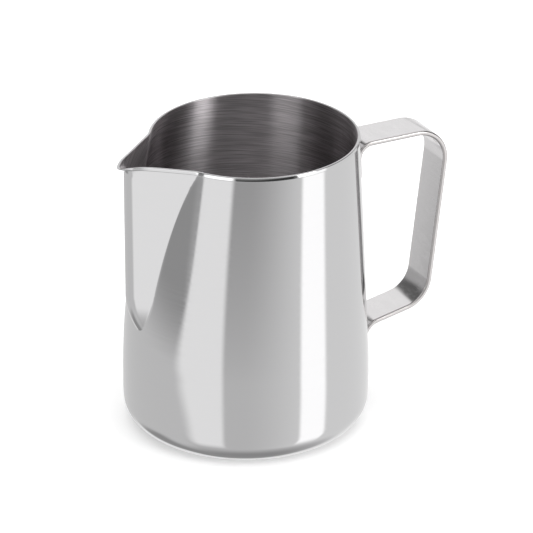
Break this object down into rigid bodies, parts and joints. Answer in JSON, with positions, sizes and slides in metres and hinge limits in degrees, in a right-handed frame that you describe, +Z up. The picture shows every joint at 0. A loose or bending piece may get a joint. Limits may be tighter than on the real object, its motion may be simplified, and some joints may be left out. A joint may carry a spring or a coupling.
{
  "type": "milk frothing pitcher",
  "caption": "Stainless steel milk frothing pitcher: a tapered cup with a pointed pouring spout and a bent strap handle spot-welded to its back.",
  "frame": {"origin": "centre of the foot ring, on the surface that the pitcher stands on", "axes": "+Z up, +X from the spout to the handle, +Y across; the pitcher is symmetrical about the XZ plane"},
  "size_m": [0.1302, 0.0896, 0.11],
  "materials": {
    "polished_steel": "mirror polished outside, lightly brushed round the inside",
    "strap_steel": "polished, with rounded edges",
    "weld_steel": "resistance weld nuggets, shut between the wall and the strap"
  },
  "bodies": {
    "root": {"body_shell": "polished_steel", "handle_strap": "strap_steel", "upper_spot_welds": "weld_steel", "lower_spot_welds": "weld_steel"}
  },
  "joints": []
}
